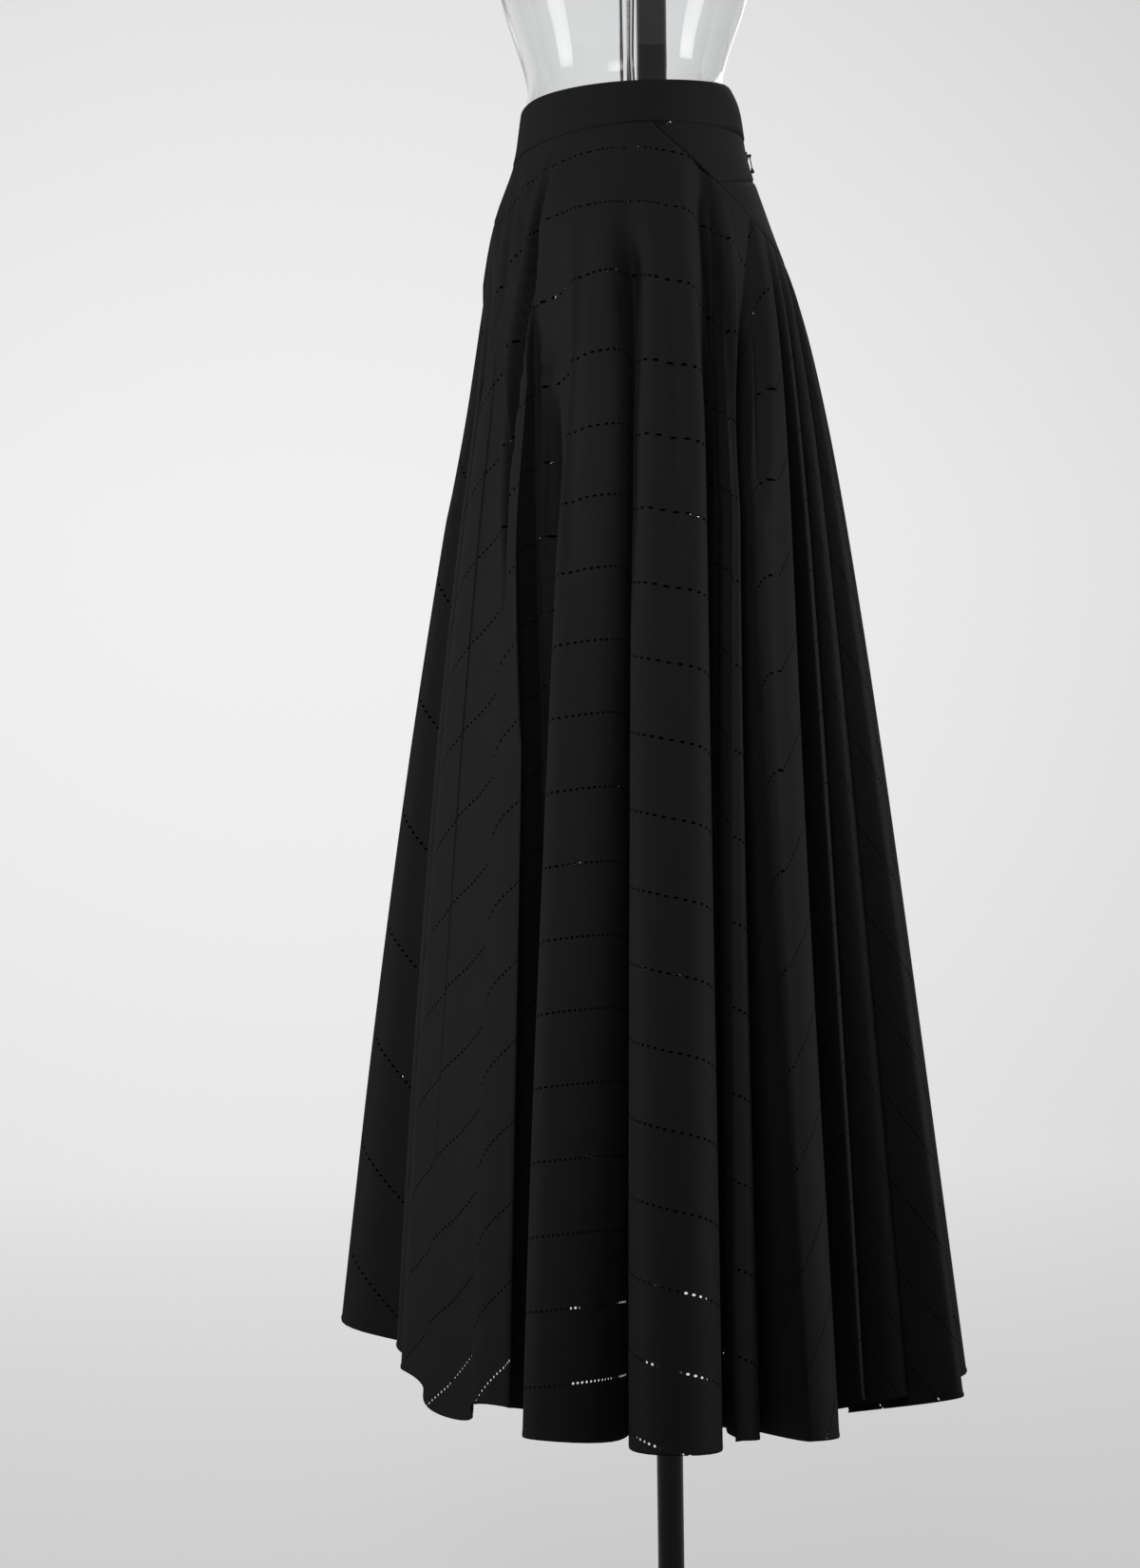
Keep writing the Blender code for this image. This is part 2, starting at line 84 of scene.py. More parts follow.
# Waistband, yoke and hem, as in the part
BAND_TOP = 1.2920
BAND_TOP_TILT = 0.0080
BAND_TOP_DIP = 0.0040
BAND_SEAM = 1.2515
BAND_SEAM_TILT = 0.0090
BAND_PROUD = 0.0009
HEM_HEIGHT = 0.2570
HEM_TILT = 0.0100
YOKE_START = -3.0
YOKE_DROP = 0.1100
YOKE_CURVE = 0.95
YOKE_TIP = -1.5
YOKE_SPLIT = 23.5
YOKE_SPLIT_TIP = 24.5
YOKE_SPLIT_DROP = 0.0322
BACK = 90.0
OPEN_SHARE = 0.25
SINK_POWER = 0.85

# How flat the folds' faces are near the waist and at the hem, where 1 is evenly round
FACE_AT_WAIST = 1.7
FACE_AT_HEM = 1.05

# How far the cloth's edges turn in at a seam
SEAM_DEPTH = 0.0014
SEAM_WIDTH = 0.0016
# How far the hung cloth's outer face stays off the form
FORM_GAP = 0.0015
# How far the narrow rolled hem stands proud
HEM_ROLL = 0.0007
# How much lower the hem hangs in a valley, whose cloth falls more steeply than a ridge's
HEM_HANG = 0.022

Section = namedtuple("Section", "height front back side")

# Reach of the skirt's outline from the pole's axis at each height
OUTLINE = (
    Section(0.2400, 0.2780, 0.2160, 0.3380),
    Section(0.4900, 0.2480, 0.1940, 0.2960),
    Section(0.7500, 0.2120, 0.1700, 0.2480),
    Section(0.9330, 0.1815, 0.1500, 0.2110),
    Section(1.0400, 0.1610, 0.1350, 0.1850),
    Section(1.1240, 0.1475, 0.1180, 0.1610),
    Section(1.1900, 0.1355, 0.0955, 0.1410),
    Section(1.2450, 0.1157, 0.0778, 0.1235),
    Section(1.2850, 0.1090, 0.0715, 0.1095),
    Section(1.3100, 0.1065, 0.0600, 0.1050),
)

# Reach of the clear form
FORM = (
    Section(0.9650, 0.1240, 0.1050, 0.1230),
    Section(1.0500, 0.1250, 0.1040, 0.1290),
    Section(1.1500, 0.1225, 0.0950, 0.1285),
    Section(1.2000, 0.1175, 0.0835, 0.1218),
    Section(1.2450, 0.1135, 0.0756, 0.1213),
    Section(1.2850, 0.1068, 0.0693, 0.1073),
    Section(1.3100, 0.1043, 0.0578, 0.1028),
    Section(1.3830, 0.1250, 0.0800, 0.1240),
    Section(1.4400, 0.1360, 0.0890, 0.1320),
    Section(1.5000, 0.1500, 0.0960, 0.1400),
    Section(1.5600, 0.1400, 0.0990, 0.1480),
    Section(1.6200, 0.1120, 0.0960, 0.1540),
    Section(1.6700, 0.0880, 0.0860, 0.1340),
    Section(1.7000, 0.0700, 0.0740, 0.0960),
    Section(1.7250, 0.0580, 0.0600, 0.0640),
    Section(1.7800, 0.0500, 0.0500, 0.0540),
)

Fold = namedtuple(
    "Fold",
    "panel top hem turn reach before after valley_top valley_hem valley_turn valley_reach start"
    " lip_before lip_after grain valley_grain",
)

# The part's folds, one row each, set a little closer. top and hem are a ridge's angles at the seam
# above and at the hem, turn the share of the drop in which it swings between them, reach its
# distance from the pole at the hem, and before and after how wide it stays on each side. The valley
# columns say the same for the valley after it, and start is where that begins to sink. The lip
# columns round an edge that leans over its valley. The grain columns are the angle at which the
# flat cloth's rows of holes cross the crease.
FOLDS = tuple(
    Fold(panel, *row)
    for panel, rows in {
        "front_left": (
            (-84, -86.0, 0.20, 0.226, 0.55, 0.60, -78, -76.0, 0.20, 0.180, 0.05, 0, 0, -54, -46),
            (-72, -63.0, 0.12, 0.238, 0.60, 0.50, -66, -47.0, 0.30, 0.238, 0.0, 0, 0, -38, -34),
            (-58, -31.4, 0.24, 0.252, 0.50, 0.20, -37, -34.0, 0.50, 0.166, 0.07, 0, 8, -28, -16),
            (-22, -18.6, 0.30, 0.328, 0.28, 0.96, -10, -8.5, 0.10, 0.165, 0.09, 0, 0, -6, 8),
            (5, -2.3, 0.35, 0.349, 0.90, 0.60, 19, 9.5, 0.45, 0.175, 0.0, 0, 0, 18, 26),
            (25, 6.3, 0.42, 0.308, 0.20, 0.46, 41, 16.5, 0.13, 0.170, 0.0, 6, 0, 32, 38),
        ),
        "back_left": (
            (45, 16.3, 0.28, 0.316, 0.90, 0.30, 50, 41.0, 0.30, 0.155, 0.0, 0, 0, -43, -20),
            (54, 42.5, 0.22, 0.213, 0.50, 0.60, 58, 47.5, 0.20, 0.150, 0.0, 0, 0, -6, 10),
            (62, 52.5, 0.20, 0.228, 0.60, 0.75, 67, 54.5, 0.16, 0.170, 0.0, 0, 0, 27, 35),
            (73, 57.0, 0.14, 0.266, 0.80, 0.50, 79, 66.0, 0.12, 0.150, 0.0, 0, 0, 43, 49),
            (84, 78.0, 0.10, 0.246, 0.55, 0.55, 90, 88.0, 0.10, 0.150, 0.0, 0, 0, 55, 60),
        ),
        "back_right": (
            (95, 97.0, 0.10, 0.243, 0.55, 0.55, 100, 105.0, 0.10, 0.150, 0.0, 0, 0, -54, -46),
            (106, 113.0, 0.12, 0.262, 0.55, 0.50, 111, 121.0, 0.12, 0.155, 0.0, 0, 0, -37, -28),
            (117, 128.0, 0.16, 0.262, 0.55, 0.55, 122, 135.0, 0.16, 0.160, 0.0, 0, 0, -19, -10),
            (127, 142.0, 0.20, 0.290, 0.60, 0.55, 132, 149.0, 0.20, 0.160, 0.0, 0, 0, 0, 10),
            (136, 157.0, 0.20, 0.312, 0.60, 0.60, 140, 164.0, 0.16, 0.180, 0.0, 0, 0, 22, 34),
        ),
        "front_right": (
            (155, 171.5, 0.20, 0.335, 0.70, 0.70, 168, 178.5, 0.25, 0.190, 0.03, 0, 0, -28, -19),
            (180, 186.5, 0.25, 0.338, 0.65, 0.60, 190, 194.0, 0.25, 0.185, 0.05, 0, 0, -9, 3),
            (201, 202.0, 0.20, 0.318, 0.60, 0.55, 211, 210.0, 0.20, 0.165, 0.04, 0, 0, 15, 24),
            (220, 217.0, 0.20, 0.300, 0.55, 0.55, 228, 224.0, 0.20, 0.160, 0.10, 0, 0, 32, 39),
            (237, 230.5, 0.20, 0.285, 0.55, 0.50, 245, 237.0, 0.20, 0.168, 0.15, 0, 0, 45, 50),
            (257, 245.0, 0.20, 0.305, 0.60, 0.60, 270, 260.0, 0.20, 0.175, 0.10, 0, 0, 55, 60),
        ),
    }.items()
    for row in rows
)

# Grain at each panel's first edge, whose valley belongs to the panel before it
FIRST_GRAIN = {"front_left": -60, "back_left": -52, "back_right": -60, "front_right": -38}

RowMark = namedtuple("RowMark", "down rows")

# How many rows of holes lie above a point that is so far down the cloth from the waist
ROW_MARKS = (
    RowMark(-0.084, -2.55),
    RowMark(0.041, 0.0),
    RowMark(0.086, 1.0),
    RowMark(0.220, 3.0),
    RowMark(0.390, 6.0),
    RowMark(0.614, 10.0),
    RowMark(0.829, 14.0),
    RowMark(1.046, 18.08),
)
# The waist's radius on the flat circle cut
WAIST_RADIUS_FLAT = 0.165
# How much the modelled arcs fall short of the full circle's, which keeps the holes round
HOLE_SQUEEZE = 0.78
# The band's mean distance from the pole, which sets its flat length
BAND_RADIUS = 0.108

# Stand and form
BASE_THICKNESS = 0.008
SOCKET_RADIUS = 0.0190
TUBE_RADIUS = 0.0113
SHELL_GAP = 0.00015

Crease = namedtuple("Crease", "top_angle top_height foot_angle foot_height bow width depth")

# Soft troughs (depth above 0) and ridges (below 0) in the cloth, each from a top point to a foot.
# bow bends the way between them by that many degrees, and width is half the trough's width.
CREASES = (
    Crease(-39.5, 1.228, -43, 0.860, -5.5, 0.0036, 0.0220),
    Crease(-43.2, 1.226, -46.5, 0.900, -5.5, 0.0050, -0.0060),
    Crease(-39.0, 1.080, -34.5, 0.760, 0.0, 0.0060, -0.0100),
    Crease(-33.5, 1.060, -31, 0.740, 0.0, 0.0060, 0.0090),
    Crease(-31, 1.094, -43, 1.040, 3.0, 0.0060, 0.0042),
    Crease(-27, 1.112, -38, 1.062, 2.0, 0.0070, -0.0024),
    Crease(-23, 1.180, -19, 0.860, -1.5, 0.0080, 0.0075),
    Crease(-30, 1.150, -25, 0.860, 0.0, 0.0080, -0.0040),
    Crease(-11, 1.204, -7, 1.020, 0.0, 0.0105, 0.0056),
    Crease(-7.5, 1.142, -7, 0.850, 0.0, 0.0062, 0.0110),
    Crease(3, 1.200, 0, 0.800, 0.0, 0.0080, 0.0040),
    Crease(15, 1.222, 16, 0.940, 3.0, 0.0078, 0.0140),
    Crease(22, 1.206, 19, 1.080, 0.0, 0.0045, 0.0024),
    Crease(27, 1.196, 29, 1.140, 0.0, 0.0040, 0.0020),
    Crease(37, 1.140, 22, 0.940, -1.0, 0.0055, 0.0120),
    Crease(47, 1.120, 43, 0.940, -1.0, 0.0055, 0.0040),
    Crease(57, 1.100, 51, 0.930, -1.0, 0.0060, 0.0036),
    Crease(-46, 1.232, -55, 1.060, 0.0, 0.0050, 0.0040),
    Crease(-52, 1.236, -62, 1.060, 0.0, 0.0060, -0.0022),
    Crease(-58, 1.228, -66, 1.040, 0.0, 0.0050, 0.0036),
    Crease(-68, 1.220, -74, 1.000, 0.0, 0.0070, 0.0030),
    Crease(262, 1.200, 256, 0.960, 0.0, 0.0080, 0.0036),
    Crease(246, 1.180, 240, 0.940, 0.0, 0.0070, 0.0044),
    Crease(229, 1.210, 226, 0.920, 1.0, 0.0070, 0.0080),
    Crease(222, 1.130, 216, 1.070, 2.0, 0.0060, 0.0034),
    Crease(212, 1.200, 211, 0.880, -1.0, 0.0075, 0.0100),
    Crease(201, 1.160, 203, 0.940, 0.0, 0.0100, 0.0026),
    Crease(190, 1.212, 193, 0.900, 1.0, 0.0075, 0.0110),
    Crease(181, 1.110, 188, 1.070, 1.0, 0.0060, -0.0030),
    Crease(168, 1.216, 176, 0.900, 2.0, 0.0070, 0.0090),
    Crease(156, 1.180, 164, 1.000, 0.0, 0.0050, 0.0030),
    Crease(141, 1.130, 158, 0.950, 1.0, 0.0060, 0.0060),
    Crease(130, 1.100, 141, 0.920, 0.0, 0.0060, 0.0040),
    Crease(118, 1.090, 126, 0.900, 0.0, 0.0060, 0.0036),
    Crease(104, 1.080, 108, 0.880, 0.0, 0.0055, 0.0030),
    Crease(76, 1.085, 68, 0.900, 0.0, 0.0055, 0.0030),
)


class ClothSettings(PropertyGroup):
    colour: FloatVectorProperty(
        name="Cloth colour",
        description="Colour of the black cloth",
        subtype="COLOR",
        default=(0.0150, 0.0150, 0.0155),
        min=0.0,
        max=1.0,
    )
    hole_width: FloatProperty(
        name="Hole width",
        description="Width of one openwork hole",
        default=0.0019,
        subtype="DISTANCE",
        unit="LENGTH",
    )
    hole_pitch: FloatProperty(
        name="Hole pitch",
        description="Distance between the centres of two holes along a row, on the flat cloth",
        default=0.0049,
        subtype="DISTANCE",
        unit="LENGTH",
    )
    row_spacing: FloatProperty(
        name="Row spacing",
        description="Distance between two rows of holes",
        default=0.0565,
        subtype="DISTANCE",
        unit="LENGTH",
    )
    thickness: FloatProperty(
        name="Cloth thickness",
        description="Thickness of the panels' and yoke's cloth",
        default=0.0007,
        subtype="DISTANCE",
        unit="LENGTH",
    )
    band_thickness: FloatProperty(
        name="Band thickness",
        description="Thickness of the doubled waistband",
        default=0.0018,
        subtype="DISTANCE",
        unit="LENGTH",
    )
    steps_per_fold: IntProperty(
        name="Steps per fold",
        description="How many faces go round one fold",
        default=34,
        min=12,
        max=60,
    )
    steps_down: IntProperty(
        name="Steps down",
        description="How many faces go from the waist to the hem",
        default=84,
        min=20,
        max=160,
    )


class FormSettings(PropertyGroup):
    wall: FloatProperty(
        name="Shell wall",
        description="Thickness of the clear form's shells",
        default=0.0030,
        subtype="DISTANCE",
        unit="LENGTH",
    )
    side_seam: FloatProperty(
        name="Side seam",
        description="Where the front and back shells meet, behind (above 0) or before the pole",
        default=-0.0220,
        subtype="DISTANCE",
        unit="LENGTH",
    )
    clear_colour: FloatVectorProperty(
        name="Clear colour",
        description="Tint of the clear plastic",
        subtype="COLOR",
        default=(0.975, 0.98, 0.985),
        min=0.0,
        max=1.0,
    )


class StandSettings(PropertyGroup):
    colour: FloatVectorProperty(
        name="Stand colour",
        description="Colour of the gloss black stand",
        subtype="COLOR",
        default=(0.0065, 0.0065, 0.0068),
        min=0.0,
        max=1.0,
    )
    edge: FloatProperty(
        name="Edge rounding",
        description="How far the stand's edges are rounded",
        default=0.0010,
        subtype="DISTANCE",
        unit="LENGTH",
    )


class StageSettings(PropertyGroup):
    backdrop_colour: FloatVectorProperty(
        name="Backdrop colour",
        description="Colour of the pale floor and backdrop",
        subtype="COLOR",
        default=(0.80, 0.80, 0.80),
        min=0.0,
        max=1.0,
    )
    # Strength of the backdrop's painted light, which the paper gives off by itself
    backdrop_painted_glow: FloatProperty(
        name="Backdrop glow",
        description="How strongly the backdrop glows by itself",
        default=1.0,
        min=0.0,
        max=4.0,
    )
    lens: FloatProperty(
        name="Lens",
        description="Focal length of the camera",
        default=61.2,
        subtype="DISTANCE_CAMERA",
        unit="CAMERA",
    )
    distance: FloatProperty(
        name="Camera distance",
        description="Distance from the camera to the pole",
        default=2.22,
        subtype="DISTANCE",
        unit="LENGTH",
    )
    tilt: FloatProperty(
        name="Camera roll",
        description="How far the picture is turned, so that the pole leans as photographed",
        default=math.radians(0.74),
        subtype="ANGLE",
        unit="ROTATION",
    )


def cosd(degrees):
    return np.cos(np.radians(degrees))


def sind(degrees):
    return np.sin(np.radians(degrees))


def lerp(start, end, share):
    return start + (end - start) * share


def section_at(table, height):
    """Front, back and side reach at each height, on smooth curves through the table's rows."""
    rows = np.array(table)
    heights = rows[:, 0]
    height = np.clip(height, heights[0], heights[-1])
    low = np.clip(np.searchsorted(heights, height, side="right") - 1, 0, len(heights) - 2)
    before, after = np.maximum(low - 1, 0), np.minimum(low + 2, len(heights) - 1)
    step = heights[low + 1] - heights[low]
    share = (height - heights[low]) / step
    reaches = []
    for column in (1, 2, 3):
        value = rows[:, column]
        slope_low = (value[low + 1] - value[before]) / (heights[low + 1] - heights[before])
        slope_high = (value[after] - value[low]) / (heights[after] - heights[low])
        reaches.append(
            value[low] * (1 + 2 * share) * (1 - share) ** 2
            + value[low + 1] * share**2 * (3 - 2 * share)
            + step * slope_low * share * (1 - share) ** 2
            + step * slope_high * share**2 * (share - 1)
        )
    return reaches


def outline_reach(degrees, height, table=OUTLINE):
    """Distance from the pole's axis to the skirt's outline, an oval set forward of the pole."""
    front, back, side = section_at(table, height)
    centre, half = (back - front) / 2, (back + front) / 2
    a = (cosd(degrees) / side) ** 2 + (sind(degrees) / half) ** 2
    b = sind(degrees) * centre / half**2
    c = (centre / half) ** 2 - 1
    return (b + np.sqrt(b * b - a * c)) / a


def round_points(degrees, reach, height):
    """Points at an angle, distance and height about the pole, in one array."""
    degrees, reach, height = np.broadcast_arrays(degrees, reach, height)
    return np.stack([reach * cosd(degrees), reach * sind(degrees), height], axis=-1)


def band_top(degrees):
    return BAND_TOP + BAND_TOP_TILT * sind(degrees) - BAND_TOP_DIP * cosd(2 * degrees)


def band_seam(degrees):
    return BAND_SEAM + BAND_SEAM_TILT * sind(degrees)


def round_from_side(degrees):
    return np.where(degrees > BACK, 180 - degrees, degrees)


def yoke_seam(degrees):
    """Height of the seam that the skirt panels hang from."""
    turned = (round_from_side(degrees) - YOKE_START) * BACK / (BACK - YOKE_START)
    drop = YOKE_DROP * np.maximum(sind(np.maximum(turned, 0)), 0) ** YOKE_CURVE
    return band_seam(degrees) - drop


def yoke_split(degrees):
    """Height of the level seam that parts the upper yoke from the lower one."""
    start_drop = band_seam(YOKE_SPLIT) - yoke_seam(YOKE_SPLIT)
    share = (round_from_side(degrees) - YOKE_SPLIT) / (BACK - YOKE_SPLIT)
    return band_seam(degrees) - lerp(start_drop, YOKE_SPLIT_DROP, share)


def upper_yoke_bottom(degrees):
    low = round_from_side(degrees) < YOKE_SPLIT
    return np.where(low, yoke_seam(degrees), yoke_split(degrees))


def hem_height(degrees):
    return HEM_HEIGHT - HEM_TILT * sind(degrees)


def creased(degrees, height):
    """How far the soft creases press the cloth in at each point."""
    depth = np.zeros(np.broadcast(degrees, height).shape)
    reach = outline_reach(degrees, height)
    for crease in CREASES:
        share = (crease.top_height - height) / (crease.top_height - crease.foot_height)
        share = np.clip(share, 0.0, 1.0)
        bowed = crease.bow * 4 * share * (1 - share)
        path = lerp(crease.top_angle, crease.foot_angle, share) + bowed
        away = (degrees - path + 180) % 360 - 180
        across = np.radians(away) * reach / crease.width
        depth = depth + crease.depth * np.sin(np.pi * share) ** 0.7 * np.exp(-(across**2))
    return depth


def steep_share(phase, wide):
    """Share of the way round from ridge to valley, with the cloth's flank standing radially."""
    quarter = np.pi / 2
    rest = np.pi - phase
    near = wide * (phase + 0.5 * np.sin(2 * phase)) / quarter
    far = 1 - (1 - wide) * (rest + 0.5 * np.sin(2 * rest)) / quarter
    return np.where(phase <= quarter, near, far)


def fold_columns(panel, steps):
    """The columns across a panel, as (fold number, phase), closer together at its two seams."""
    numbers = [number for number, fold in enumerate(FOLDS) if fold.panel == panel]
    phases = np.linspace(-np.pi, np.pi, steps + 1)
    close = np.pi - np.array([0.012, 0.026, 0.05, 0.09])
    columns = [(number, phase) for number in numbers for phase in phases[:-1]]
    columns += [(numbers[0], -phase) for phase in close]
    columns += [(numbers[-1], phase) for phase in close]
    columns.append((numbers[-1], np.pi))
    return sorted(columns)


def down_steps(count):
    """Shares of the drop from the seam above to the hem, closer together at both ends."""
    near_top = [0.0, 0.0012, 0.0028, 0.005, 0.008]
    near_hem = [0.990, 0.9955, 0.9975, 0.9987, 1.0]
    return np.array([*near_top, *np.linspace(0.014, 0.982, count), *near_hem])


def panel_cloth(panel, steps, count):
    """Points of a panel's outer face, and where each lies on the flat cloth in metres and rows."""
    columns = fold_columns(panel, steps)
    folds = [FOLDS[number] for number, _ in columns]
    valleys = [FOLDS[number if phase >= 0 else number - 1] for number, phase in columns]
    signed = np.array([phase for _, phase in columns])
    wrap = np.array([-360 if n == 0 and phase < 0 else 0 for n, phase in columns])
    phase = np.abs(signed)
    wide = np.where(signed >= 0, [f.after for f in folds], [f.before for f in folds])
    ridge = {
        key: np.array([getattr(f, key) for f in folds]) for key in ("top", "hem", "turn", "reach")
    }
    valley = {
        key: np.array([getattr(f, key) for f in valleys])
        for key in ("valley_top", "valley_hem", "valley_turn", "valley_reach", "start")
    }
    drop = down_steps(count)[:, None]
    even, steep = phase / np.pi, steep_share(phase, wide)
    opened = np.minimum(drop / OPEN_SHARE, 1.0)
    opened = opened * opened * (3 - 2 * opened)
    ridge_angle = lerp(ridge["hem"], ridge["top"], np.exp(-drop / ridge["turn"]))
    valley_swing = np.exp(-drop / valley["valley_turn"])
    valley_angle = lerp(valley["valley_hem"], valley["valley_top"], valley_swing) + wrap
    lip = np.where(signed >= 0, [f.lip_after for f in folds], [-f.lip_before for f in folds])
    rest = np.pi - phase
    rounded = phase * np.exp(-((phase / 0.5) ** 2)) - 1.2 * rest * np.exp(-((rest / 0.8) ** 2))
    rounded = lip * np.sqrt(drop) * rounded
    degrees = lerp(ridge_angle, valley_angle, lerp(even, steep, opened)) + rounded
    top_degrees = lerp(ridge["top"], valley["valley_top"] + wrap, even)
    hem_degrees = lerp(ridge["hem"], valley["valley_hem"] + wrap, steep)
    hem = hem_height(hem_degrees)
    round_hem = outline_reach(hem_degrees, hem)
    hem = hem - HEM_HANG * (1 - np.cos(phase)) / 2
    height = lerp(yoke_seam(top_degrees), hem, drop)
    sunk = (np.maximum(drop - valley["start"], 0) / (1 - valley["start"])) ** SINK_POWER
    raised = (ridge["reach"] - round_hem) * drop
    lowered = (valley["valley_reach"] - round_hem) * sunk
    flat_topped = ((1 - np.cos(phase)) / 2) ** lerp(FACE_AT_WAIST, FACE_AT_HEM, drop)
    folded = lerp(raised, lowered, flat_topped)
    reach = outline_reach(degrees, height) + folded - creased(degrees, height)
    least = outline_reach(degrees, height, FORM) + FORM_GAP
    reach = (reach + least + np.sqrt((reach - least) ** 2 + FORM_GAP**2)) / 2
    points = round_points(degrees, reach, height)

    across = np.linalg.norm(np.diff(points, axis=1, prepend=points[:, :1]), axis=2).cumsum(axis=1)
    down = np.linalg.norm(np.diff(points, axis=0, prepend=points[:1]), axis=2).cumsum(axis=0)
    tuck = np.exp(-((down / SEAM_WIDTH) ** 2)) + np.exp(-((across / SEAM_WIDTH) ** 2))
    tuck = tuck + np.exp(-(((across[:, -1:] - across) / SEAM_WIDTH) ** 2))
    roll = HEM_ROLL * np.exp(-(((down[-1:] - down - 0.0018) / 0.0014) ** 2))
    reach = reach - SEAM_DEPTH * np.minimum(tuck, 1.0) + roll
    points = round_points(degrees, reach, height)

    grain = column_grain(panel, columns, across[-1])
    waist = band_seam(top_degrees) - yoke_seam(top_degrees)
    return points, grain, down + waist


def column_grain(panel, columns, hem_arc):
    """The grain's angle at each column, shared out along the hem between ridges and valleys."""
    marks = [(hem_arc[0], FIRST_GRAIN[panel])]
    for (number, phase), arc in zip(columns, hem_arc):
        if phase == 0:
            marks.append((arc, FOLDS[number].grain))
        if phase == np.pi or (phase == -np.pi and arc > 0):
            done = number if phase > 0 else number - 1
            marks.append((arc, FOLDS[done].valley_grain))
    arcs, grains = zip(*marks)
    return np.interp(hem_arc, arcs, grains)


def flat_place(grain, down, spacing):
    """Where the cloth lay before it was hung: along the rows of holes, and across them."""
    marks = np.array(ROW_MARKS)
    radius = WAIST_RADIUS_FLAT + spacing * np.interp(down, marks[:, 0], marks[:, 1])
    return np.stack([radius * sind(grain), radius * cosd(grain)], axis=-1)


def new_sheet(name, points, flat, thickness, material):
    """A thin shell on a grid of points that runs from top to bottom and counter-clockwise."""
    rows, columns = points.shape[:2]
    corner = np.arange(rows * columns).reshape(rows, columns)
    quads = [corner[:-1, :-1], corner[1:, :-1], corner[1:, 1:], corner[:-1, 1:]]
    faces = np.stack(quads, axis=-1).reshape(-1, 4)
    mesh = bpy.data.meshes.new(name)
    mesh.from_pydata(points.reshape(-1, 3).tolist(), [], faces.tolist())
    layer = mesh.uv_layers.new(name="flat")
    layer.data.foreach_set("uv", flat.reshape(-1, 2)[faces.ravel()].astype(np.float32).ravel())
    mesh.shade_smooth()
    mesh.materials.append(material)
    piece = bpy.data.objects.new(name, mesh)
    bpy.context.scene.collection.objects.link(piece)
    wall = piece.modifiers.new("wall", "SOLIDIFY")
    wall.thickness = thickness
    wall.offset = -1
    return piece


def new_turned(name, profile, material, segments=96, edge=0.0):
    """A piece turned about the pole's axis from (radius, height) points, top to bottom."""
    mesh = bpy.data.meshes.new(name)
    closed = [(len(profile) - 1, 0)] if profile[0][0] > 0 and profile[-1][0] > 0 else []
    edges = [(i, i + 1) for i in range(len(profile) - 1)] + closed
    mesh.from_pydata([(radius, 0.0, height) for radius, height in profile], edges, [])
    mesh.materials.append(material)
    piece = bpy.data.objects.new(name, mesh)
    bpy.context.scene.collection.objects.link(piece)
    turn = piece.modifiers.new("turn", "SCREW")
    turn.axis = "Z"
    turn.steps = segments
    turn.render_steps = segments
    turn.use_merge_vertices = True
    turn.merge_threshold = 0.00001
    turn.use_smooth_shade = True
    if edge:
        rounding = piece.modifiers.new("rounding", "BEVEL")
        rounding.width = edge
        rounding.segments = 3
        rounding.limit_method = "ANGLE"
        rounding.harden_normals = True
    return piece


class Shade:
    """A shader socket that Python's arithmetic works on, each step adding its Math node."""

    def __init__(self, finish, made, key=0):
        self.finish = finish
        self.made = made
        self.socket = find_socket(made.outputs, key)

    def output(self, key):
        return Shade(self.finish, self.made, key)

    def math(self, operation, *values):
        return self.finish.node("ShaderNodeMath", {"operation": operation}, dict(enumerate(values)))

    def __add__(self, other):
        return self.math("ADD", self, other)

    def __radd__(self, other):
        return self.math("ADD", other, self)

    def __sub__(self, other):
        return self.math("SUBTRACT", self, other)

    def __rsub__(self, other):
        return self.math("SUBTRACT", other, self)

    def __mul__(self, other):
        return self.math("MULTIPLY", self, other)

    def __rmul__(self, other):
        return self.math("MULTIPLY", other, self)

    def __truediv__(self, other):
        return self.math("DIVIDE", self, other)

    def __pow__(self, other):
        return self.math("POWER", self, other)

    def __lt__(self, other):
        return self.math("LESS_THAN", self, other)

    def __gt__(self, other):
        return self.math("GREATER_THAN", self, other)

    def fraction(self):
        return self.math("FRACT", self)

    def clamped(self):
        return self.finish.node("ShaderNodeClamp", {}, {"Value": self})


def find_socket(sockets, key):
    """A node's socket by number, by identifier or by name."""
    if isinstance(key, int):
        return sockets[key]
    named = [socket for socket in sockets if key in (socket.identifier, socket.name)]
    if not named:
        raise KeyError(f"no socket called {key}")
    return named[0]


